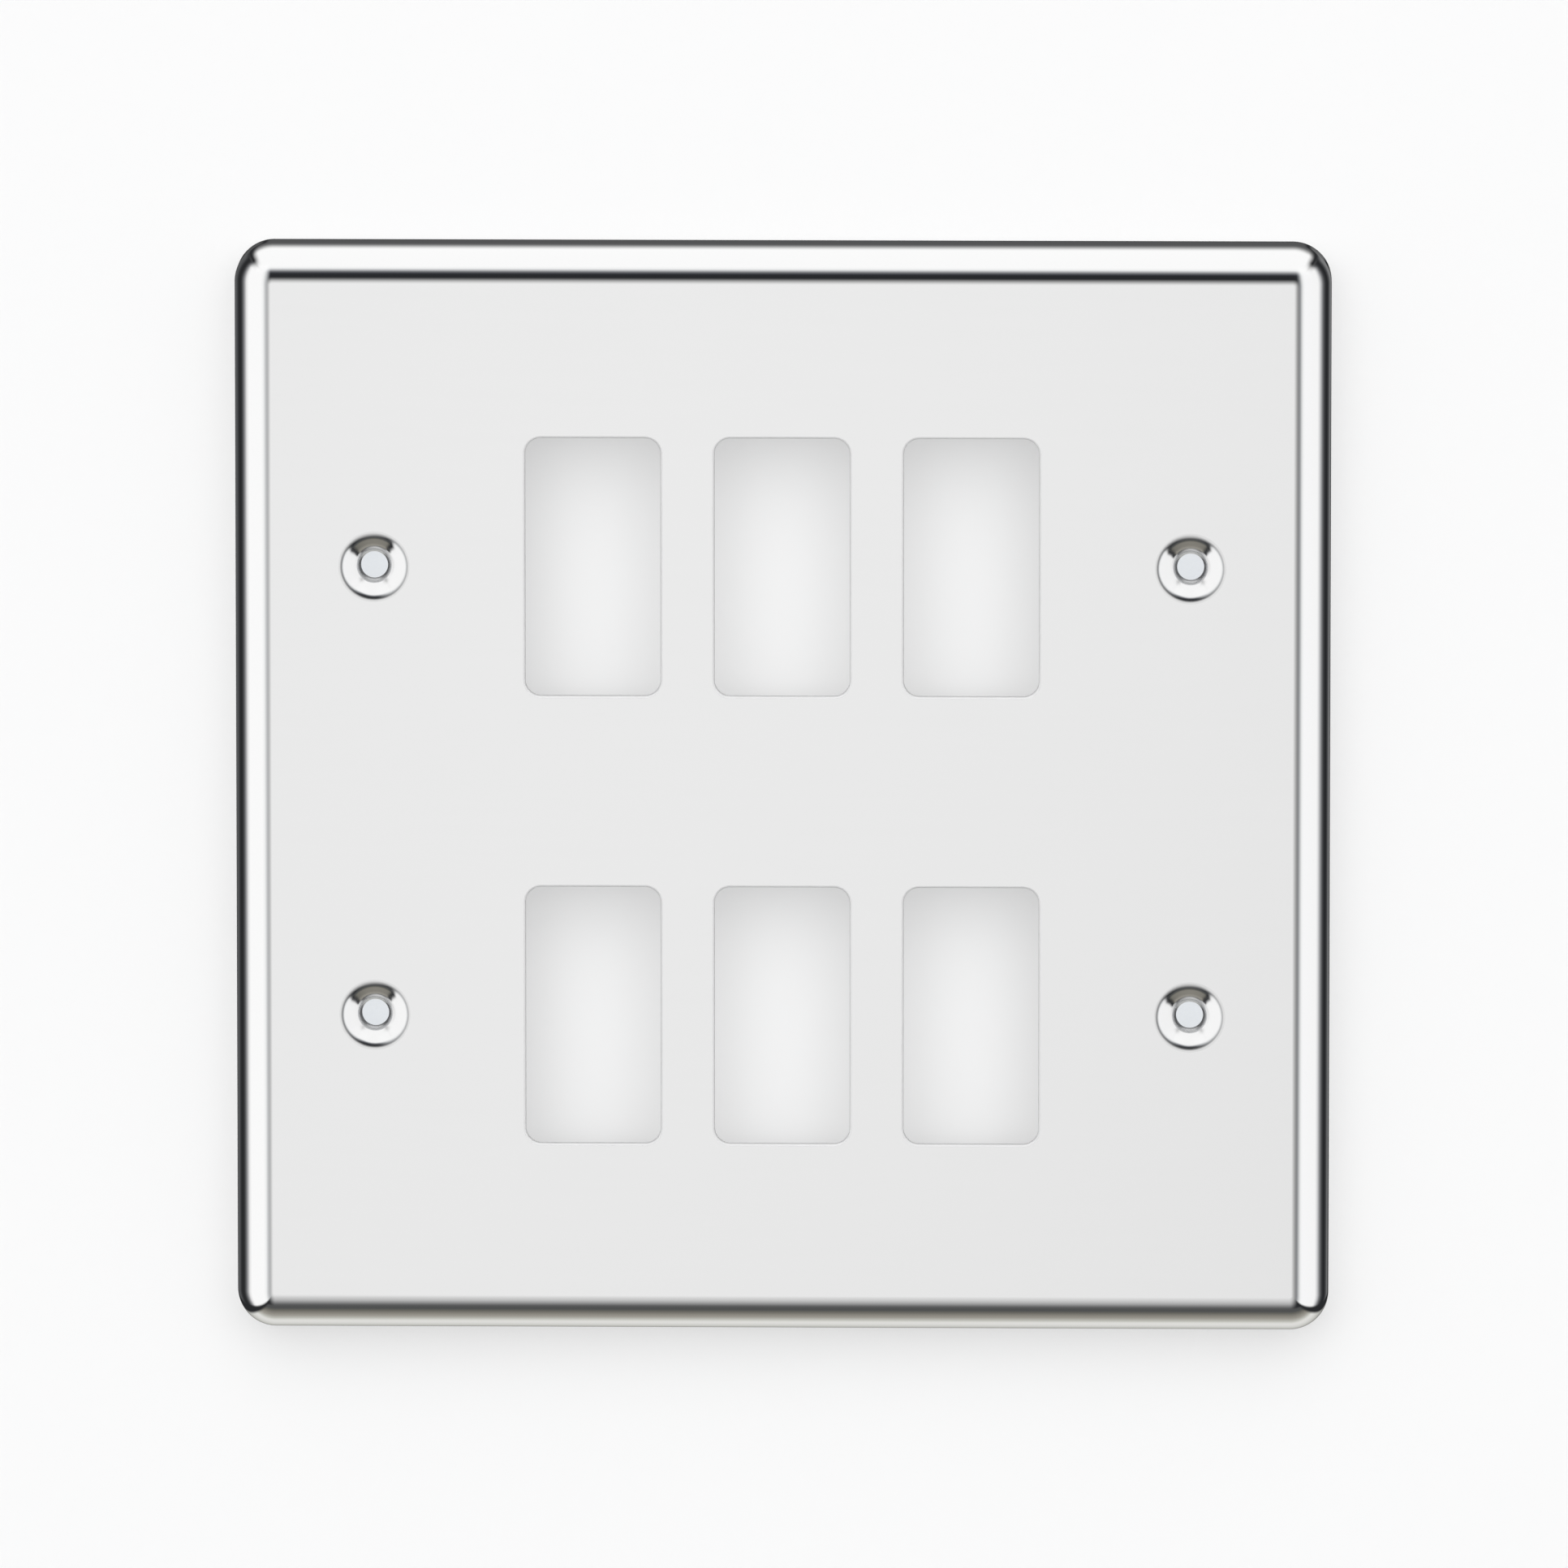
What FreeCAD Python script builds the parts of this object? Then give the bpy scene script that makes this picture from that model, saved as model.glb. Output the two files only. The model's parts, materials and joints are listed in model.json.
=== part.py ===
import FreeCAD
import Part

import math
import os
from FreeCAD import Vector

# Grid switch plate: one sheet of metal, pressed into a shallow pan with a rolled border,
# pierced with two rows of three windows and dimpled at four countersunk fixing holes.
# Frame: X is the width, Z is up, the front faces -Y. The origin is the middle of the four
# fixings, on the wall plane. Sizes are in millimetres.

# The sheet and how far the pan stands off the wall
sheet = 1.2
projection = 9.0

# Bends of the rolled border, inside the sheet, and the corner left to the flat field
edge_bend_r = 3.8
field_corner_r = 0.2

# Windows, which each take one module
windows_across = 3
window_w = 18.0
window_h = 34.6
window_corner_r = 2.1
window_ease = 0.3
mullion_w = 7.2
row_pitch = 60.3

# Margins, which give the plate its width and height
window_to_fixing = 20.15
fixing_to_side = 18.65
window_to_end = 25.55

# Dimpled fixing hole: a soft bend into a slope, a rounded lip and a short straight land
hole_d = 3.6
hole_lip_r = 1.5
hole_land = 0.4
slope_run = 0.8
slope_deg = 36.0
dimple_bend_r = 1.4

# How far a cutting tool runs past the face that it leaves, and how near two points are one
overrun = 2.0
touching = 1e-4

# What follows from the sizes above
column_pitch = window_w + mullion_w
fixing_spacing = (windows_across - 1) * column_pitch + window_w + 2 * window_to_fixing
plate_w = fixing_spacing + 2 * fixing_to_side
plate_h = row_pitch + window_h + 2 * window_to_end
edge_r = edge_bend_r + sheet
corner_r = edge_r + field_corner_r
field_y = -projection
field_back_y = field_y + sheet


def rounded_outline(width, height, radius, y):
    """A rectangle with rounded corners, upright at depth y, as one closed wire."""
    corners = []
    for turn, (sx, sz) in enumerate(((1, 1), (-1, 1), (-1, -1), (1, -1))):
        centre = Vector(sx * (width / 2 - radius), y, sz * (height / 2 - radius))
        corner = []
        for degrees in (90 * turn, 90 * turn + 45, 90 * turn + 90):
            angle = math.radians(degrees)
            corner.append(centre + Vector(radius * math.cos(angle), 0, radius * math.sin(angle)))
        corners.append(corner)
    edges = []
    for corner, following in zip(corners, corners[1:] + corners[:1]):
        edges.append(Part.Arc(*corner).toShape())
        edges.append(Part.LineSegment(corner[-1], following[0]).toShape())
    return Part.Wire(edges)


def prism(width, height, radius, front, rear):
    """A rounded block that runs along Y from front to rear."""
    face = Part.Face(rounded_outline(width, height, radius, front))
    return face.extrude(Vector(0, rear - front, 0))


def edges_in_plane(shape, y, inside=None):
    """The shape's edges that lie in the upright plane at depth y, within a half width and height."""
    found = []
    for edge in shape.Edges:
        box = edge.BoundBox
        if abs(box.YMin - y) > touching or abs(box.YMax - y) > touching:
            continue
        if inside and (abs(box.Center.x) > inside[0] or abs(box.Center.z) > inside[1]):
            continue
        found.append(edge)
    return found


def pan(inset, front, rear):
    """A block with a rolled front edge, smaller than the plate's outside by inset all round."""
    block = prism(plate_w - 2 * inset, plate_h - 2 * inset, corner_r - inset, front, rear)
    return block.makeFillet(edge_r - inset, edges_in_plane(block, front))


def pressed_shell():
    """The pressed pan: the same form outside and inside, one sheet apart, open at the wall."""
    return pan(0, field_y, 0).cut(pan(sheet, field_back_y, overrun))


def window_places():
    """The middles of the windows, row by row."""
    for row in (-0.5, 0.5):
        for column in range(windows_across):
            yield (column - (windows_across - 1) / 2) * column_pitch, row * row_pitch


def fixing_places():
    """The middles of the four fixing holes, level with the rows of windows."""
    for row in (-0.5, 0.5):
        for side in (-0.5, 0.5):
            yield side * fixing_spacing, row * row_pitch


def pierce_windows(plate):
    """Cuts the windows and eases their front edges, which are no longer sharp after polishing."""
    for x, z in window_places():
        tool = prism(window_w, window_h, window_corner_r, field_y - overrun, overrun)
        tool.translate(Vector(x, 0, z))
        plate = plate.cut(tool)
    reach_x = (windows_across - 1) / 2 * column_pitch + window_w / 2 + window_ease
    reach_z = row_pitch / 2 + window_h / 2 + window_ease
    return plate.makeChamfer(window_ease, edges_in_plane(plate, field_y, (reach_x, reach_z)))


def bend(centre_r, centre_y, radius, first_deg, last_deg):
    """An arc of a dimple's section, from one tilt of its surface to another."""
    points = []
    for tilt in (first_deg, (first_deg + last_deg) / 2, last_deg):
        angle = math.radians(tilt)
        points.append(Vector(centre_r - radius * math.sin(angle), centre_y - radius * math.cos(angle), 0))
    return Part.Arc(*points), points[0], points[2]


def section(parts):
    """A face in the XY plane from a run of points and arcs, joined by straight lines."""
    edges = []
    ends = [(item, item) if isinstance(item, Vector) else item[1:] for item in parts]
    for item, (_, end), following in zip(parts, ends, ends[1:] + ends[:1]):
        if not isinstance(item, Vector):
            edges.append(item[0].toShape())
        if not end.isEqual(following[0], touching):
            edges.append(Part.LineSegment(end, following[0]).toShape())
    return Part.Face(Part.Wire(edges))


def dimple_tools():
    """The boss that a dimple raises behind the field, and the dish and hole cut into it."""
    slope = math.radians(slope_deg)
    hole_r = hole_d / 2
    outer_bend_r = dimple_bend_r + sheet
    lip_start_r = hole_r + hole_lip_r * (1 - math.sin(slope))
    slope_start_r = lip_start_r + slope_run
    mouth_r = slope_start_r + outer_bend_r * math.sin(slope)
    slope_y = field_y + outer_bend_r * (1 - math.cos(slope)) + slope_run * math.tan(slope)
    lip_centre_y = slope_y + hole_lip_r * math.cos(slope)
    nose_y = lip_centre_y + hole_land

    mouth = bend(mouth_r, field_y + outer_bend_r, outer_bend_r, 0, slope_deg)
    lip = bend(hole_r + hole_lip_r, lip_centre_y, hole_lip_r, slope_deg, 90)
    dish = section(
        [
            Vector(0, field_y - overrun, 0),
            Vector(mouth_r, field_y - overrun, 0),
            mouth,
            lip,
            Vector(hole_r, nose_y + overrun, 0),
            Vector(0, nose_y + overrun, 0),
        ]
    )

    root = bend(mouth_r, field_y + outer_bend_r, dimple_bend_r, 0, slope_deg)
    nose_r = root[2].x - (nose_y - root[2].y) / math.tan(slope)
    boss = section(
        [
            Vector(0, field_back_y - sheet / 2, 0),
            Vector(mouth_r, field_back_y - sheet / 2, 0),
            root,
            Vector(nose_r, nose_y, 0),
            Vector(0, nose_y, 0),
        ]
    )
    axis = (Vector(0, 0, 0), Vector(0, 1, 0), 360)
    return boss.revolve(*axis), dish.revolve(*axis)


def press_dimples(plate):
    """Raises the four bosses behind the field, and sinks the dish and hole into each."""
    boss, dish = dimple_tools()
    for x, z in fixing_places():
        place = Vector(x, 0, z)
        plate = plate.fuse(boss.translated(place))
        plate = plate.cut(dish.translated(place))
    return plate.removeSplitter()


def face_plate():
    """The whole plate, in the order that the press makes it."""
    return press_dimples(pierce_windows(pressed_shell()))


os.makedirs("parts", exist_ok=True)
plate = face_plate()
plate.exportStep("parts/face_plate.step")
box = plate.BoundBox
print("face_plate: %d solid, valid %s" % (len(plate.Solids), plate.isValid()))
print("size %.2f x %.2f x %.2f mm" % (box.XLength, box.YLength, box.ZLength))
print("volume %.1f mm3, area %.1f mm2" % (plate.Volume, plate.Area))
print("columns %.2f apart, fixings %.2f x %.2f apart" % (column_pitch, fixing_spacing, row_pitch))
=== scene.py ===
# %% [markdown]
# # A polished chrome grid switch plate
#
# The object is one sheet of metal. A press draws it into a shallow pan with a rolled border, pierces
# six windows for switch modules, and sinks four dimples for its fixing screws. It is then polished and
# plated until it is a mirror. So this lesson is about two things: a very smooth surface, and what a
# mirror has to reflect. The first cell loads the model that was made in CAD, which gives every size.

import bmesh
import bpy
import json
import math
from mathutils import Matrix, Vector


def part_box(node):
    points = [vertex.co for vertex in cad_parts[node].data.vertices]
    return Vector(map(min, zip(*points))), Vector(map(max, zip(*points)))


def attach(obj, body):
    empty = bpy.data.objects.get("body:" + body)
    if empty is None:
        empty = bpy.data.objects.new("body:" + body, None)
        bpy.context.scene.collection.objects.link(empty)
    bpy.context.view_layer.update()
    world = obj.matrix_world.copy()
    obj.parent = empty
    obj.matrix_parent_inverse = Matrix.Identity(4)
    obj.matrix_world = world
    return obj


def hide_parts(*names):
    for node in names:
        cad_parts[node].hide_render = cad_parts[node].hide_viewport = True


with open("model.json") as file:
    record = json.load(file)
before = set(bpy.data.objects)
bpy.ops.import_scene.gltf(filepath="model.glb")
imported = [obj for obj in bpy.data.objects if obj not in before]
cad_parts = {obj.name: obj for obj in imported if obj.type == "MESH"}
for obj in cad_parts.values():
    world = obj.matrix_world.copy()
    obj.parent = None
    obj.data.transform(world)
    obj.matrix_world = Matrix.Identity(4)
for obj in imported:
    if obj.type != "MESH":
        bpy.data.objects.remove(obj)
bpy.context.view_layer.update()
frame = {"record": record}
plate_low, plate_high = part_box("face_plate")
print("The plate's box in CAD:", [round(v, 4) for v in plate_high - plate_low], "m")

# %% [markdown]
# ## Sizes
#
# Blender works in metres, and a metalworker thinks in millimetres, so one value turns one into the
# other. The outside of the plate and its fixing holes come from the frame. The others are the sizes
# that the press tool has: the sheet, its bends, the windows and the dimples.

# %% The plate's sizes
MM = 0.001

plate_w = plate_high.x - plate_low.x
plate_h = plate_high.z - plate_low.z
projection = plate_high.y - plate_low.y
fixing = next(m for m in frame["record"]["mounts"] if m["name"] == "fixing_holes")["dims"]
fixing_spacing = fixing["spacing_x_mm"] * MM
row_pitch = fixing["spacing_y_mm"] * MM
hole_r = fixing["hole_r_mm"] * MM

sheet = 1.2 * MM
edge_bend_r = 3.8 * MM
field_corner_r = 0.2 * MM

window_w = 18.0 * MM
window_h = 34.6 * MM
window_corner_r = 2.1 * MM
window_ease_r = 0.3 * MM
column_pitch = 25.2 * MM
columns, rows = 3, 2
fixings_across = 2

hole_lip_r = 1.5 * MM
hole_land = 0.4 * MM
slope_run = 0.8 * MM
slope = math.radians(36)
dimple_bend_r = 1.4 * MM

edge_r = edge_bend_r + sheet
print("Fixings %.1f x %.1f mm apart" % (fixing_spacing / MM, row_pitch / MM))
print("Outside radius of the border: %.1f mm" % (edge_r / MM))

# %% [markdown]
# ## Two helpers
#
# Colours are written as they look on a screen, and Blender's shaders want light. One function turns
# the one into the other. A second one adds a node to any tree. It sets what the node has to be told,
# and it links an input where the value is another node or one of its sockets.

# %% Colour and node helpers
def linear(hex_colour):
    """A screen colour such as "#f0f1f3" as linear light, with an alpha of 1."""
    channels = [int(hex_colour[i : i + 2], 16) / 255 for i in (1, 3, 5)]
    return [c / 12.92 if c <= 0.04045 else ((c + 0.055) / 1.055) ** 2.4 for c in channels] + [1.0]


def add(tree, kind, inputs=None, **settings):
    """Adds a node. An input takes a value, a socket, a node (its first output) or a list of nodes."""
    made = tree.nodes.new(kind)
    for name, value in settings.items():
        setattr(made, name, value)
    for name, value in (inputs or {}).items():
        several = isinstance(value, list) and isinstance(value[0], bpy.types.Node)
        for source in value if several else [value]:
            if isinstance(source, bpy.types.Node):
                source = source.outputs[0]
            if isinstance(source, bpy.types.NodeSocket):
                tree.links.new(source, made.inputs[name])
            else:
                made.inputs[name].default_value = source
    return made


# A Mix node has sockets for several kinds of data. These are the places of the colour ones.
UNDER, OVER, MIXED = 6, 7, 2
print("Screen grey #808080 as light:", [round(v, 3) for v in linear("#808080")])

# %% [markdown]
# ## The camera
#
# The plate hangs on a wall and is seen almost square on, from 8 degrees above and a little to its
# right. A long lens from 3 metres away keeps its sides parallel. The picture is 1932 pixels wide, and
# 9.2475 of them cover a millimetre of the plate's front, which gives the lens. The plate's middle lies
# 10 pixels below the picture's and 2 to its left, so the camera is moved up and right by as much.

# %% Place the camera
picture_px = 1932
px_per_mm = 9.2475
middle_px = (963.6, 976.2)
sensor_mm = 36
camera_distance = 3.0
camera_azimuth = math.radians(1.3)
camera_elevation = math.radians(8.0)

camera_data = bpy.data.cameras.new("camera")
camera_data.sensor_width = sensor_mm
camera_data.lens = sensor_mm * camera_distance / (picture_px / px_per_mm * MM)
camera = bpy.data.objects.new("camera", camera_data)
bpy.context.collection.objects.link(camera)
bpy.context.scene.camera = camera

to_camera = Vector((
    math.sin(camera_azimuth) * math.cos(camera_elevation),
    -math.cos(camera_azimuth) * math.cos(camera_elevation),
    math.sin(camera_elevation),
))
right = Vector((0, 0, 1)).cross(to_camera).normalized()
up = to_camera.cross(right)
across = (picture_px / 2 - middle_px[0]) / px_per_mm * MM
above = (middle_px[1] - picture_px / 2) / px_per_mm * MM
front_middle = Vector((0, plate_low.y, 0))
place = front_middle + to_camera * camera_distance + right * across + up * above
camera.matrix_world = Matrix((
    (right.x, up.x, to_camera.x, place.x),
    (right.y, up.y, to_camera.y, place.y),
    (right.z, up.z, to_camera.z, place.z),
    (0, 0, 0, 1),
))
print("Camera at", [round(v, 3) for v in place], "with a lens of %.0f mm" % camera_data.lens)

# %% [markdown]
# ## The studio
#
# A mirror has no look of its own: it shows the room. This plate was lit in a white tent: a glowing wall
# on each side, a glowing ceiling, and a pale table below. The tent's front is open, so dark shows there,
# and in the middle of that hangs a pale card. Lamps and boards could be built, but all of this is far
# away beside the plate's size. A world that is painted by direction is simpler, and it has no noise.
#
# A direction that leaves the plate meets the side walls, the ceiling or the table. Which one depends on
# the way round, counted in degrees from straight up. How far along the tent it is met depends on the
# angle from straight out of the plate. Each part has a list of what shows there, as (degrees, colour).

# %% What each part of the tent shows, by the angle from straight out of the plate
left_stops = [
    (0, "#242527"), (8, "#2a2b2d"), (12, "#757678"), (15, "#9c9ea0"), (20, "#cccdce"),
    (26, "#f0f1f1"), (33, "#fafafa"), (75, "#fafafa"), (84, "#e2e2e2"), (91, "#a1a1a3"),
    (99, "#606163"), (107, "#343537"), (116, "#272829"), (126, "#303133"), (139, "#505153"),
    (156, "#5a5b5c"), (180, "#484848"),
]
right_stops = [
    (0, "#242527"), (11, "#2a2b2d"), (16, "#636568"), (20, "#9b9d9f"), (24, "#cccdce"),
    (29, "#eeefef"), (35, "#f7f7f8"), (79, "#f5f5f5"), (86, "#dcdcdd"), (93, "#aaabad"),
    (100, "#707173"), (108, "#414244"), (116, "#2a2b2d"), (125, "#262729"), (135, "#454648"),
    (148, "#777879"), (164, "#7c7d7e"), (180, "#484848"),
]
above_stops = [
    (0, "#000000"), (24, "#0b0c0f"), (28, "#303137"), (33, "#747578"), (38, "#bdbec0"),
    (43, "#f0f1f1"), (50, "#fafafa"), (116, "#fbfbfb"), (123, "#ececec"), (129, "#cfcfcf"),
    (136, "#a8a8a8"), (144, "#7e7e7e"), (154, "#545454"), (180, "#404040"),
]
below_stops = [
    (0, "#242527"), (41, "#2a2b2d"), (48, "#4e4f4f"), (55, "#505151"), (62, "#66655f"),
    (73, "#87847c"), (84, "#9d9a92"), (96, "#bebeb7"), (104, "#d7d7d2"), (111, "#dfdedb"),
    (126, "#d4d4d0"), (143, "#bdbdb8"), (160, "#8a8a86"), (180, "#484848"),
]
gap = linear("#292a2c")
card_dim, card_bright = linear("#d4d4d4"), linear("#ececec")
print("Stops:", [len(stops) for stops in (left_stops, right_stops, above_stops, below_stops)])

# %% [markdown]
# A world shader knows a direction as three numbers. How far it runs along an axis is their dot product,
# and two such lengths give an angle. The tent has the plate's own axes. The card has others: it is the
# one thing that the flat field mirrors, so its middle lies where the camera's view goes after it meets
# the field.

# %% Read the direction
world = bpy.data.worlds.new("studio")
world.use_nodes = True
bpy.context.scene.world = world
sky = world.node_tree
sky.nodes.clear()
direction = add(sky, "ShaderNodeTexCoord").outputs["Generated"]

mirrored = Vector((-to_camera.x, to_camera.y, -to_camera.z))
rightward = Vector((0, 0, 1)).cross(mirrored).normalized()
axes = {
    "out": (0, -1, 0), "across": (1, 0, 0), "up": (0, 0, 1), "down": (0, 0, -1),
    "to card": mirrored, "card right": rightward, "card up": mirrored.cross(rightward),
}
run = {}
for name, axis in axes.items():
    dot = add(sky, "ShaderNodeVectorMath", {0: direction, 1: list(axis)}, operation="DOT_PRODUCT")
    run[name] = dot.outputs["Value"]


def angle(sideways, ahead):
    """The angle in degrees between a direction and straight ahead, seen in one plane."""
    turn = add(sky, "ShaderNodeMath", {0: sideways, 1: ahead}, operation="ARCTAN2")
    return add(sky, "ShaderNodeMath", {0: turn}, operation="DEGREES")


to_side = add(sky, "ShaderNodeMath", {0: run["across"]}, operation="ABSOLUTE")
side_angle = angle(to_side, run["out"])
way_round = angle(to_side, run["up"])
card_x = angle(run["card right"], run["to card"])
card_y = angle(run["card up"], run["to card"])
print("The card hangs towards", [round(v, 3) for v in mirrored])

# %% [markdown]
# The side walls end above the table, along an edge that slants with the side angle. The left wall
# reaches a little further down than the right one. The table begins a little past that edge.

# %% Where the walls end and the table begins
left_foot, right_foot = 150.0, 143.0
wall_slant = -0.22
table_gap, table_slant = 4.0, 0.12
corner_way = 45.0

on_right = add(sky, "ShaderNodeMath", {0: run["across"], 1: 0.0}, operation="GREATER_THAN")
foot = add(
    sky, "ShaderNodeMath", {0: on_right, 1: right_foot - left_foot, 2: left_foot}, operation="MULTIPLY_ADD"
)
wall_end = add(sky, "ShaderNodeMath", {0: side_angle, 1: wall_slant, 2: foot}, operation="MULTIPLY_ADD")
past_wall = add(sky, "ShaderNodeMath", {0: way_round, 1: wall_end}, operation="SUBTRACT")
between = add(
    sky, "ShaderNodeMath", {0: side_angle, 1: table_slant, 2: table_gap}, operation="MULTIPLY_ADD"
)
past_table = add(sky, "ShaderNodeMath", {0: past_wall, 1: between}, operation="SUBTRACT")
from_corner = add(sky, "ShaderNodeMath", {0: way_round, 1: corner_way}, operation="SUBTRACT")
off_corner = add(sky, "ShaderNodeMath", {0: from_corner}, operation="ABSOLUTE")
to_low_right = add(sky, "ShaderNodeMath", {0: card_x, 1: card_y}, operation="SUBTRACT")
print("Feet of the walls at %.0f and %.0f degrees" % (left_foot, right_foot))

# %% [markdown]
# Nothing in the tent has a sharp edge. Each soft edge is a value, where the thing is fully there, and
# where it has gone. The card's edges are the softest, because it hangs near the camera, out of focus. It
# reaches further down than up, and it is a little dimmer towards its low right corner.

# %% Soften the edges
soft_edges = {
    "side wall": (past_wall, -3, 4),
    "table": (past_table, 4, -4),
    "behind the front": (run["out"], 0.35, 0.75),
    "nearer the ceiling": (way_round, 38, 50),
    "nearer the wall": (way_round, 52, 40),
    "across the seam": (off_corner, 0, 15),
    "along the seam": (run["out"], -0.1, 0.5),
    "card left": (card_x, 0, -20),
    "card right": (card_x, 0, 24),
    "card top": (card_y, 1, 24),
    "card foot": (card_y, -5, -43),
    "bright card": (to_low_right, -2.6, 11.4),
}
share = {}
for name, (value, there, gone) in soft_edges.items():
    share[name] = add(
        sky, "ShaderNodeMapRange",
        {"Value": value, "From Min": gone, "From Max": there}, interpolation_type="SMOOTHSTEP",
    )


def where_all(*names):
    """The share of a direction that is within all the named edges."""
    within = share[names[0]]
    for name in names[1:]:
        within = add(sky, "ShaderNodeMath", {0: within, 1: share[name]}, operation="MULTIPLY")
    return within


print(len(share), "soft edges")

# %% [markdown]
# The view is painted in layers, each laid over the last one by its share. In front of the plate the
# ceiling's light is laid over the side walls' with Screen, which adds light and rounds the corner between
# them. Behind the plate's front each keeps to its own side of the corner, with a dark seam between them.

# %% Paint the tent and hang the card over it
def tent_part(degrees, stops):
    """What a part of the tent shows at each angle, from its list of (degrees, screen colour)."""
    half_turn = 180.0
    place = add(sky, "ShaderNodeMath", {0: degrees, 1: half_turn}, operation="DIVIDE")
    shown = add(sky, "ShaderNodeValToRGB", {"Fac": place})
    elements = shown.color_ramp.elements
    for element, (stop, colour) in zip(list(elements), (stops[0], stops[-1])):
        element.position = stop / half_turn
        element.color = linear(colour)
    for stop, colour in stops[1:-1]:
        elements.new(stop / half_turn).color = linear(colour)
    return shown


left_wall = tent_part(side_angle, left_stops)
right_wall = tent_part(side_angle, right_stops)
walls = add(
    sky, "ShaderNodeMix",
    {"Factor": on_right, UNDER: left_wall, OVER: right_wall}, data_type="RGBA",
)
card = add(
    sky, "ShaderNodeMix",
    {"Factor": share["bright card"], UNDER: card_dim, OVER: card_bright}, data_type="RGBA",
)
no_ceiling = where_all("behind the front", "nearer the wall")
some_ceiling = add(sky, "ShaderNodeMath", {0: 1.0, 1: no_ceiling}, operation="SUBTRACT")
layers = [
    (share["side wall"], walls.outputs[MIXED], "MIX"),
    (where_all("behind the front", "nearer the ceiling"), gap, "MIX"),
    (some_ceiling, tent_part(angle(run["up"], run["out"]), above_stops), "SCREEN"),
    (where_all("across the seam", "along the seam"), gap, "MIX"),
    (share["table"], tent_part(angle(run["down"], run["out"]), below_stops), "MIX"),
    (where_all("card left", "card right", "card top", "card foot"), card.outputs[MIXED], "MIX"),
]
view = gap
for factor, colour, way in layers:
    layer = {"Factor": factor, UNDER: view, OVER: colour}
    view = add(sky, "ShaderNodeMix", layer, data_type="RGBA", blend_type=way).outputs[MIXED]
print(len(layers), "layers")

# %% [markdown]
# The plate is lit by the studio and mirrors it. The camera itself sees plain white past the paper.

# %% Light the plate with the studio
studio_strength = 1.1
studio_light = add(sky, "ShaderNodeBackground", {"Color": view, "Strength": studio_strength})
plain_white = add(sky, "ShaderNodeBackground", {"Color": linear("#ffffff"), "Strength": 1.0})
to_eye = add(sky, "ShaderNodeLightPath").outputs["Is Camera Ray"]
seen = add(sky, "ShaderNodeMixShader", {0: to_eye, 1: studio_light, 2: plain_white})
add(sky, "ShaderNodeOutputWorld", {"Surface": seen})
bpy.context.scene.view_settings.view_transform = "Standard"
print("World nodes:", len(sky.nodes))

# %% [markdown]
# ## Wall and floor
#
# The plate's rim lies on a white wall, and a floor runs out from the wall's foot in a long curve, as a
# photographer's paper roll does. The wall takes the plate's soft shadow. Its own light, for the camera
# alone, lifts it to white where nothing shades it. Behind each fixing hole that light is raised by painted
# light: a glow painted over the shade that the plate casts there, because so little real light gets
# through the holes. Seen from behind the wall is clear, so that the camera can go round to the plate's
# back. The mirror doesn't see it: there the studio stays as painted.

# %% Mix the paper
def paper_material(colour, own_light, painted_glow_light, painted_glow_r):
    """White paper with a light of its own for the camera, and a painted glow behind each fixing hole."""
    material = bpy.data.materials.new("white_backdrop_paper")
    material.use_nodes = True
    tree = material.node_tree
    tree.nodes.clear()
    where = add(tree, "ShaderNodeTexCoord").outputs["Object"]
    quarter = add(tree, "ShaderNodeVectorMath", {0: where}, operation="ABSOLUTE")
    fixing_place = [fixing_spacing / 2, 0.0, row_pitch / 2]
    from_fixing = add(tree, "ShaderNodeVectorMath", {0: quarter, 1: fixing_place}, operation="DISTANCE")
    # Within a small radius of each fixing hole the paper's own light is raised: a painted glow over the
    # shade behind the plate.
    painted_glow_share = add(
        tree, "ShaderNodeMapRange",
        {"Value": from_fixing.outputs["Value"], "From Min": painted_glow_r, "From Max": painted_glow_r / 2},
    )
    light = add(
        tree, "ShaderNodeMix",
        {"Factor": painted_glow_share, UNDER: own_light, OVER: painted_glow_light}, data_type="RGBA",
    )
    to_eye = add(tree, "ShaderNodeLightPath").outputs["Is Camera Ray"]
    glow = add(tree, "ShaderNodeEmission", {"Color": light.outputs[MIXED], "Strength": to_eye})
    paper = add(tree, "ShaderNodeBsdfDiffuse", {"Color": colour})
    front = add(tree, "ShaderNodeAddShader", {0: paper, 1: glow})
    clear = add(tree, "ShaderNodeBsdfTransparent")
    from_behind = add(tree, "ShaderNodeNewGeometry").outputs["Backfacing"]
    seen_side = add(tree, "ShaderNodeMixShader", {0: from_behind, 1: front, 2: clear})
    add(tree, "ShaderNodeOutputMaterial", {"Surface": seen_side})
    return material


# The bluish grey #d2d6da is the painted glow behind the fixing holes, where the plate's shade falls.
paper = paper_material(linear("#bbbbbb"), linear("#b3b3b3"), linear("#d2d6da"), painted_glow_r=8 * MM)
print("Paper nodes:", len(paper.node_tree.nodes))


# %% Unroll it behind the plate and below it
def paper_roll(half_width, height, reach, drop, curve_r, steps):
    """A wall at the plate's rim plane that curves into a floor below the plate."""
    line = [(0.0, height)]
    for step in range(steps + 1):
        turn = math.pi / 2 * step / steps
        line.append((-curve_r * (1 - math.cos(turn)), -drop + curve_r * (1 - math.sin(turn))))
    line.append((-reach, -drop))
    verts = [(side * half_width, y, z) for y, z in line for side in (-1, 1)]
    faces = [(2 * i, 2 * i + 2, 2 * i + 3, 2 * i + 1) for i in range(len(line) - 1)]
    mesh = bpy.data.meshes.new("paper_roll")
    mesh.from_pydata(verts, [], faces)
    mesh.shade_smooth()
    return bpy.data.objects.new("paper_roll", mesh)


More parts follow.
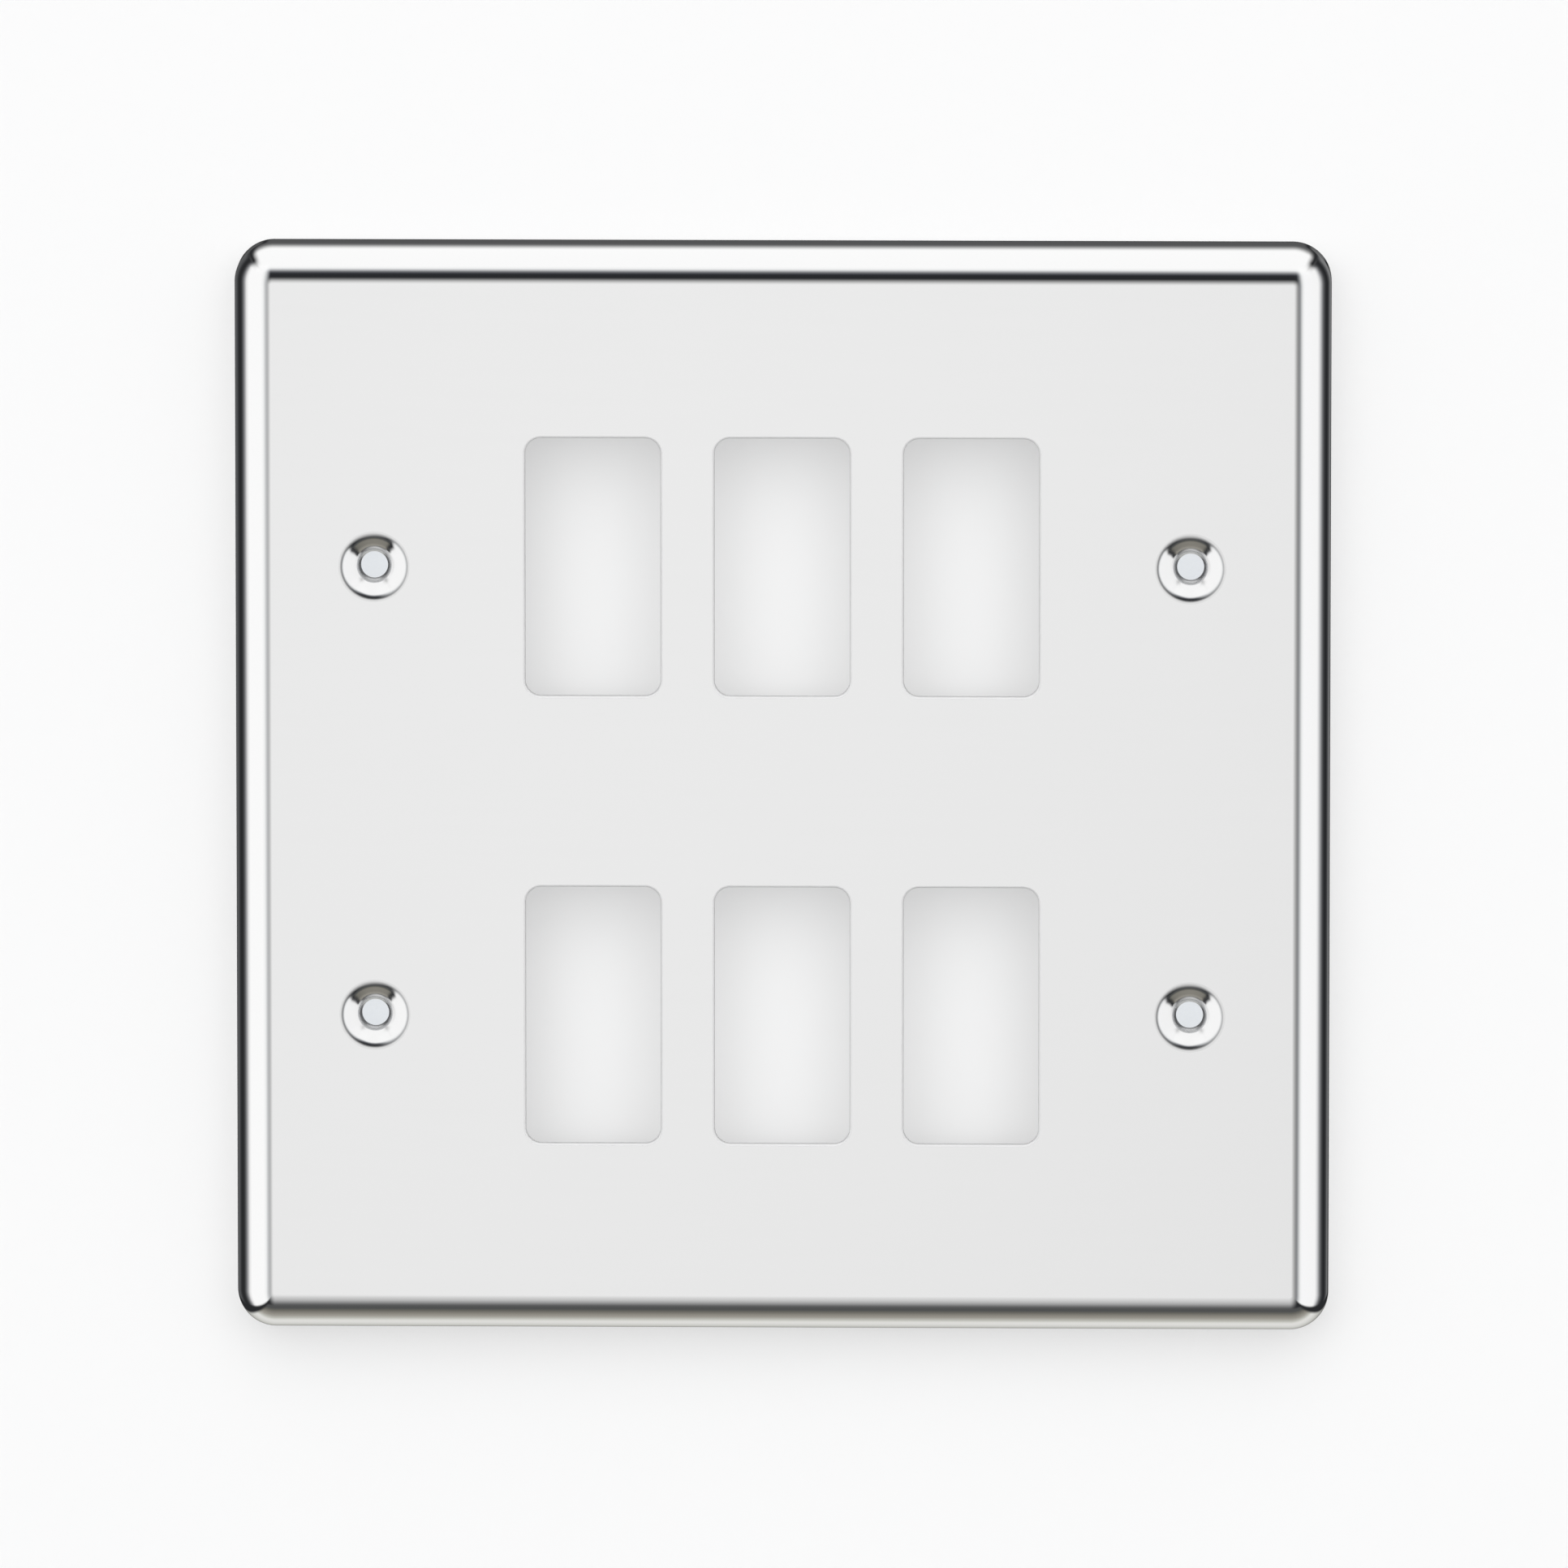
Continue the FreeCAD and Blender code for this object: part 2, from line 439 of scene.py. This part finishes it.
wall = paper_roll(half_width=3.0, height=3.0, reach=4.0, drop=0.4, curve_r=0.25, steps=24)
wall.data.materials.append(paper)
bpy.context.collection.objects.link(wall)
wall.visible_glossy = False
wall.visible_shadow = False
print("The wall faces", [round(v, 2) for v in wall.data.polygons[0].normal])

# %% [markdown]
# One very large, soft lamp in front of the plate and above it deepens the shadow below the plate. The
# mirror doesn't see it either, or it would show there as a disc.

# %% Hang the soft lamp
lamp_energy = 1.36
lamp_spread = math.radians(80)
lamp_elevation = math.radians(25)

lamp_data = bpy.data.lights.new("soft_lamp", "SUN")
lamp_data.energy = lamp_energy
lamp_data.angle = lamp_spread
lamp = bpy.data.objects.new("soft_lamp", lamp_data)
lamp.rotation_euler = (math.pi / 2 - lamp_elevation, 0, 0)
lamp.visible_glossy = False
bpy.context.collection.objects.link(lamp)
print("Lamp: %.2f W/m2 over %.0f degrees" % (lamp_energy, math.degrees(lamp_spread)))

# %% [markdown]
# ## Polished chrome and its duller places
#
# Bright chrome is a thin skin over nickel over steel. The face is buffed before it is plated, so its
# roughness is almost nothing. Two real faults keep it from looking like glass: the press leaves long
# waves that are a few thousandths of a millimetre deep, and the buffing mop leaves faint lines. The mop
# reaches less well into the dishes, which look softer, and hardly into the holes, whose lips are dull.
# At a window's cut edge the plating current is strongest and leaves a fine frosted line. It scatters
# light almost as paper does, so it is made only a little metallic. Nobody buffs the back: it is satin.

# %% Make the five finishes
def chrome(name, colour, roughness, spread, wave_mm, wave_depth_mm, line_mm, metallic=1.0):
    """Plated metal: roughness varies along buffing lines, and long waves bend what it mirrors."""
    squeeze_along_lines = 0.08
    noise_low, noise_high = 0.3, 0.7
    material = bpy.data.materials.new(name)
    material.use_nodes = True
    tree = material.node_tree
    tree.nodes.clear()
    where = add(tree, "ShaderNodeTexCoord").outputs["Object"]
    stretched = add(tree, "ShaderNodeMapping", {"Vector": where, "Scale": [squeeze_along_lines, 1.0, 1.0]})
    lines = add(
        tree, "ShaderNodeTexNoise", {"Vector": stretched, "Scale": 1 / (line_mm * MM), "Detail": 2.0}
    )
    rough = add(tree, "ShaderNodeMapRange", {
        "Value": lines, "From Min": noise_low, "From Max": noise_high,
        "To Min": roughness - spread, "To Max": roughness + spread,
    })
    waves = add(tree, "ShaderNodeTexNoise", {"Vector": where, "Scale": 1 / (wave_mm * MM), "Detail": 1.0})
    bump = add(tree, "ShaderNodeBump", {"Height": waves, "Distance": wave_depth_mm * MM, "Strength": 1.0})
    metal = add(
        tree, "ShaderNodeBsdfPrincipled",
        {"Base Color": linear(colour), "Metallic": metallic, "Roughness": rough, "Normal": bump},
    )
    add(tree, "ShaderNodeOutputMaterial", {"Surface": metal})
    return material


polished = chrome(
    "polished_chrome_plate", "#f4f4f4", roughness=0.05, spread=0.01,
    wave_mm=12, wave_depth_mm=0.004, line_mm=1.5,
)
soft = chrome(
    "soft_chrome_dish", "#f0f0f0", roughness=0.13, spread=0.02,
    wave_mm=6, wave_depth_mm=0.003, line_mm=0.8,
)
dull = chrome(
    "dull_chrome_hole_lip", "#e2e3e4", roughness=0.42, spread=0.04,
    wave_mm=3, wave_depth_mm=0.004, line_mm=0.5,
)
frosted = chrome(
    "frosted_chrome_window_edge", "#e2e2e2", roughness=0.6, spread=0.04,
    wave_mm=3, wave_depth_mm=0.004, line_mm=0.5, metallic=0.2,
)
satin = chrome(
    "satin_chrome_plate_back", "#dcdddf", roughness=0.32, spread=0.05,
    wave_mm=4, wave_depth_mm=0.02, line_mm=0.8,
)
print("Finishes:", [finish.name for finish in (polished, soft, dull, frosted, satin)])

# %% [markdown]
# ## Sections of the sheet
#
# Everything that isn't flat on this plate is a section that runs round a path: the rolled border round
# the field, the eased edge round each window, and the dish round each fixing hole. A section is drawn
# with few points, as a toolmaker draws it: straight lines, and a radius for each corner. In Blender
# that can be a curve with the radius kept on each point, which a Fillet Curve node then rounds.
#
# In a section, x runs away from the path's middle and y runs out of the plate's front. The windows'
# front edges are rounded here, where the CAD model has a small chamfer.

# %% Work out the dimple
front_y, back_y = projection, projection - sheet
tool_bend_r = dimple_bend_r + sheet
lip_start_r = hole_r + hole_lip_r * (1 - math.sin(slope))
mouth_r = lip_start_r + slope_run + tool_bend_r * math.sin(slope)
foot_r = mouth_r - tool_bend_r * math.tan(slope / 2)
throat_y = front_y - (foot_r - hole_r) * math.tan(slope)
nose_y = throat_y - hole_lip_r * math.tan((math.pi / 2 - slope) / 2) - hole_land
boss_foot_r = mouth_r - dimple_bend_r * math.tan(slope / 2)
nose_r = boss_foot_r - (back_y - nose_y) / math.tan(slope)

# The mop bows the slope a little: it is flatter than its middle at its top, and steeper at its foot
bow = math.radians(4)
bow_r = 5.0 * MM
bowed_bend_r = 1.9 * MM
middle_r = lip_start_r + slope_run / 2
middle_y = front_y - (foot_r - middle_r) * math.tan(slope)
bowed_foot_r = middle_r + (front_y - middle_y) / math.tan(slope - bow)
bowed_throat_y = middle_y - (middle_r - hole_r) * math.tan(slope + bow)
print("Dish: mouth %.2f mm, hole %.2f mm" % (mouth_r / MM, hole_r / MM))
print("Its nose is %.2f mm off the wall" % (nose_y / MM))


# %% Draw the sections
def section(name, corners):
    """A curve through (x, y, rounding radius) corners. A swept curve's own Y points to the wall here."""
    data = bpy.data.curves.new(name, "CURVE")
    data.dimensions = "3D"
    spline = data.splines.new("POLY")
    spline.points.add(len(corners) - 1)
    for point, (x, y, rounding) in zip(spline.points, corners):
        point.co = (x, -y, 0, 1)
        point.radius = rounding
    made = bpy.data.objects.new(name, data)
    bpy.context.collection.objects.link(made)
    return made


sections = {
    "Border Section": section("border_section", [
        (0, front_y, 0), (edge_r, front_y, edge_r), (edge_r, 0, 0), (edge_bend_r, 0, 0)]),
    "Border Back Section": section("border_back_section", [
        (0, back_y, 0), (edge_bend_r, back_y, edge_bend_r), (edge_bend_r, 0, 0)]),
    "Window Section": section("window_section", [
        (0, front_y, 0), (-window_ease_r, front_y, window_ease_r), (-window_ease_r, back_y, 0)]),
    "Dish Section": section("dish_section", [
        (0, front_y, 0), (bowed_foot_r - mouth_r, front_y, bowed_bend_r),
        (middle_r - mouth_r, middle_y, bow_r),
        (hole_r - mouth_r, bowed_throat_y, hole_lip_r), (hole_r - mouth_r, nose_y, 0)]),
    "Boss Section": section("boss_section", [
        (0, back_y, 0), (boss_foot_r - mouth_r, back_y, dimple_bend_r),
        (nose_r - mouth_r, nose_y, 0), (hole_r - mouth_r, nose_y, 0)]),
}
print("Sections:", list(sections))

# %% [markdown]
# ## The plate as a rule
#
# The plate follows a rule: outlines with holes are filled to make the two flat sides of the field, and
# sections are swept round the same outlines to make all that curves between them. Booleans on a dense
# mesh would leave ragged edges, and a mirror shows each one. Here both sides share their outlines'
# points, so that merging by distance closes the shell with no gap. The tree works flat, with its Z out
# of the plate's front, and stands the plate up at its end.

# %% Name the tree's inputs
tree = bpy.data.node_groups.new("pressed_plate", "GeometryNodeTree")
tree.interface.new_socket("Plate", in_out="OUTPUT", socket_type="NodeSocketGeometry")
plan = {
    "Field Width": plate_w - 2 * edge_r,
    "Field Height": plate_h - 2 * edge_r,
    "Field Corner": field_corner_r,
    "Front": front_y,
    "Back": back_y,
    "Window Width": window_w,
    "Window Height": window_h,
    "Window Corner": window_corner_r,
    "Window Ease": window_ease_r,
    "Columns": columns,
    "Column Pitch": column_pitch,
    "Row Pitch": row_pitch,
    "Fixing Spacing": fixing_spacing,
    "Dish Mouth": mouth_r,
    "Lip Start": lip_start_r,
    "Corner Steps": 24,
    "Round Steps": 128,
    "Bend Steps": 32,
    **sections,
    "Face Finish": polished,
    "Dish Finish": soft,
    "Lip Finish": dull,
    "Edge Finish": frosted,
    "Back Finish": satin,
}
socket_kinds = {
    float: "NodeSocketFloat", int: "NodeSocketInt",
    bpy.types.Object: "NodeSocketObject", bpy.types.Material: "NodeSocketMaterial",
}
identifiers = {}
for name, value in plan.items():
    made = tree.interface.new_socket(name, in_out="INPUT", socket_type=socket_kinds[type(value)])
    identifiers[name] = made.identifier
size = add(tree, "NodeGroupInput").outputs
print(len(plan), "named inputs")

# %% [markdown]
# The outlines come first. A rectangle whose corners are filleted gives the field and the windows, and
# a circle gives the mouth of a dish. On the face a window's outline is wider by the ease of its edge.

# %% Outlines
def outline(width, height, corner):
    """A rectangle with rounded corners, as one closed curve."""
    box = add(tree, "GeometryNodeCurvePrimitiveQuadrilateral", {"Width": width, "Height": height})
    return add(
        tree, "GeometryNodeFilletCurve",
        {"Curve": box, "Count": size["Corner Steps"], "Radius": corner}, mode="POLY",
    )


ease = size["Window Ease"]
mouth_width = add(
    tree, "ShaderNodeMath", {0: ease, 1: 2.0, 2: size["Window Width"]}, operation="MULTIPLY_ADD"
)
mouth_height = add(
    tree, "ShaderNodeMath", {0: ease, 1: 2.0, 2: size["Window Height"]}, operation="MULTIPLY_ADD"
)
mouth_corner = add(tree, "ShaderNodeMath", {0: size["Window Corner"], 1: ease}, operation="ADD")

field_outline = outline(size["Field Width"], size["Field Height"], size["Field Corner"])
window_outline = outline(size["Window Width"], size["Window Height"], size["Window Corner"])
window_mouth = outline(mouth_width, mouth_height, mouth_corner)
dish_mouth = add(
    tree, "GeometryNodeCurvePrimitiveCircle",
    {"Resolution": size["Round Steps"], "Radius": size["Dish Mouth"]},
)
print("Window %.1f mm wide, %.1f mm at its mouth" % (window_w / MM, (window_w + 2 * window_ease_r) / MM))

# %% [markdown]
# Two grids of points carry the copies: one point for each window, and one for each fixing.

# %% The grids that repeat them
steps_between = add(tree, "ShaderNodeMath", {0: size["Columns"], 1: 1}, operation="SUBTRACT")
grid_width = add(tree, "ShaderNodeMath", {0: steps_between, 1: size["Column Pitch"]}, operation="MULTIPLY")
window_grid = add(tree, "GeometryNodeMeshGrid", {
    "Size X": grid_width, "Size Y": size["Row Pitch"],
    "Vertices X": size["Columns"], "Vertices Y": rows,
})
fixing_grid = add(tree, "GeometryNodeMeshGrid", {
    "Size X": size["Fixing Spacing"], "Size Y": size["Row Pitch"],
    "Vertices X": fixings_across, "Vertices Y": rows,
})


def at_each(points, thing):
    """A copy of a curve or a mesh at each point, as real geometry."""
    copies = add(tree, "GeometryNodeInstanceOnPoints", {"Points": points, "Instance": thing})
    return add(tree, "GeometryNodeRealizeInstances", {"Geometry": copies})


print(columns * rows, "windows and", fixings_across * rows, "fixings")

# %% [markdown]
# Fill Curve makes a flat face with holes, and Curve to Mesh sweeps a section round a path. The face
# side and the back side are each made of one fill and its sweeps. Marks on the faces of the dishes,
# their lips, the windows' edges and the back tell the last nodes which finish to give.

# %% Fill and sweep
def flat_side(window, height):
    """The field at a height above the wall, with its windows and dish mouths left open."""
    curves = add(tree, "GeometryNodeJoinGeometry", {
        "Geometry": [field_outline, at_each(window_grid, window), at_each(fixing_grid, dish_mouth)]})
    filled = add(tree, "GeometryNodeFillCurve", {"Curve": curves}, mode="TRIANGLES")
    lift = add(tree, "ShaderNodeCombineXYZ", {"Z": height})
    return add(tree, "GeometryNodeTransform", {"Geometry": filled, "Translation": lift})


def sweep(path, section_name, marks=None):
    """A section, rounded at its corners, run round a path. A mark is a yes or no kept on its faces."""
    drawn = add(tree, "GeometryNodeObjectInfo", {"Object": size[section_name]}).outputs["Geometry"]
    rounding = add(tree, "GeometryNodeInputRadius")
    profile = add(
        tree, "GeometryNodeFilletCurve",
        {"Curve": drawn, "Count": size["Bend Steps"], "Radius": rounding}, mode="POLY",
    )
    swept = add(tree, "GeometryNodeCurveToMesh", {"Curve": path, "Profile Curve": profile})
    for mark, faces in (marks or {}).items():
        swept = add(
            tree, "GeometryNodeStoreNamedAttribute",
            {"Geometry": swept, "Name": mark, "Value": faces}, data_type="BOOLEAN", domain="FACE",
        )
    return swept


position = add(tree, "GeometryNodeInputPosition")
in_plan = add(tree, "ShaderNodeVectorMath", {0: position, 1: (1, 1, 0)}, operation="MULTIPLY")
from_middle = add(tree, "ShaderNodeVectorMath", {0: in_plan}, operation="LENGTH").outputs["Value"]
in_lip = add(tree, "ShaderNodeMath", {0: from_middle, 1: size["Lip Start"]}, operation="LESS_THAN")
dish = sweep(dish_mouth, "Dish Section", {"dish": True, "lip": in_lip})
window_edge = sweep(window_mouth, "Window Section", {"edge": True})
print("Lips are marked within %.2f mm of a hole's middle" % (lip_start_r / MM))

# %% Join the two sides, stand the plate up and give it its finishes
merge_within = 0.01 * MM

face_side = add(tree, "GeometryNodeJoinGeometry", {"Geometry": [
    flat_side(window_mouth, size["Front"]),
    sweep(field_outline, "Border Section"),
    at_each(window_grid, window_edge),
    at_each(fixing_grid, dish),
]})
back_side = add(tree, "GeometryNodeJoinGeometry", {"Geometry": [
    flat_side(window_outline, size["Back"]),
    sweep(field_outline, "Border Back Section"),
    at_each(fixing_grid, sweep(dish_mouth, "Boss Section")),
]})
marked_back = add(
    tree, "GeometryNodeStoreNamedAttribute",
    {"Geometry": back_side, "Name": "back", "Value": True}, data_type="BOOLEAN", domain="FACE",
)
both_sides = add(tree, "GeometryNodeJoinGeometry", {"Geometry": [face_side, marked_back]})
shell = add(tree, "GeometryNodeMergeByDistance", {"Geometry": both_sides, "Distance": merge_within})
standing = add(tree, "GeometryNodeTransform", {"Geometry": shell, "Rotation": (math.pi / 2, 0, 0)})
real = add(tree, "GeometryNodeRealizeInstances", {"Geometry": standing})
dressed = add(tree, "GeometryNodeSetMaterial", {"Geometry": real, "Material": size["Face Finish"]})
for mark in ("dish", "lip", "edge", "back"):
    chosen = add(tree, "GeometryNodeInputNamedAttribute", {"Name": mark}, data_type="BOOLEAN")
    finish = size[mark.capitalize() + " Finish"]
    dressed = add(
        tree, "GeometryNodeSetMaterial", {"Geometry": dressed, "Selection": chosen, "Material": finish}
    )
add(tree, "NodeGroupOutput", {"Plate": dressed})
print("Nodes in the rule:", len(tree.nodes))

# %% [markdown]
# The modifier's inputs are set by their identifiers before it first runs. What it gives is then kept as
# a plain mesh, whose faces are turned to point outward. The modifier and the section curves go.

# %% Turn the tree into a mesh
holder = bpy.data.objects.new("plate_holder", bpy.data.meshes.new("plate_holder"))
bpy.context.collection.objects.link(holder)
rule = holder.modifiers.new("pressed_plate", "NODES")
rule.node_group = tree
for name, value in plan.items():
    rule[identifiers[name]] = value
evaluated = holder.evaluated_get(bpy.context.evaluated_depsgraph_get())
plate_mesh = bpy.data.meshes.new_from_object(evaluated)
plate_mesh.name = "chrome_face_plate"
bpy.data.objects.remove(holder)
for drawn in sections.values():
    bpy.data.objects.remove(drawn)

shape = bmesh.new()
shape.from_mesh(plate_mesh)
bmesh.ops.recalc_face_normals(shape, faces=shape.faces)
open_edges = [edge for edge in shape.edges if not edge.is_manifold]
volume = shape.calc_volume(signed=True)
shape.to_mesh(plate_mesh)
shape.free()
print("Faces:", len(plate_mesh.polygons), "open edges:", len(open_edges))
print("Volume: %.0f mm3" % (volume / MM**3))

# %% [markdown]
# How smooth a mirror looks depends on the normals. The field must stay dead flat on both sides: a
# smooth-shaded corner on the field's edge would lean towards the border or into a window, so the corners
# in the two flat planes are told the direction that their plane faces.

# %% Keep the flat sides flat
sharp_past = math.radians(40)
flat_within = 0.0005 * MM
facing_least = 0.5

plate_mesh.shade_smooth()
plate_mesh.set_sharp_from_angle(angle=sharp_past)
told = [(0, 0, 0)] * len(plate_mesh.loops)
for face in plate_mesh.polygons:
    for corner in face.loop_indices:
        spot = plate_mesh.vertices[plate_mesh.loops[corner].vertex_index].co
        if face.normal.y < -facing_least and abs(spot.y + front_y) < flat_within:
            told[corner] = (0, -1, 0)
        if face.normal.y > facing_least and abs(spot.y + back_y) < flat_within:
            told[corner] = (0, 1, 0)
plate_mesh.normals_split_custom_set(told)
print("Corners told:", len(told) - told.count((0, 0, 0)), "of", len(told))

# %% [markdown]
# The finished mesh rides on the plate's only body and stands for the CAD solid.

# %% Hand the plate over
plate = bpy.data.objects.new("chrome_face_plate", plate_mesh)
bpy.context.collection.objects.link(plate)
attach(plate, "root")
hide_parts("face_plate")
print(plate.name, "stands for face_plate, with", len(plate_mesh.polygons), "faces")
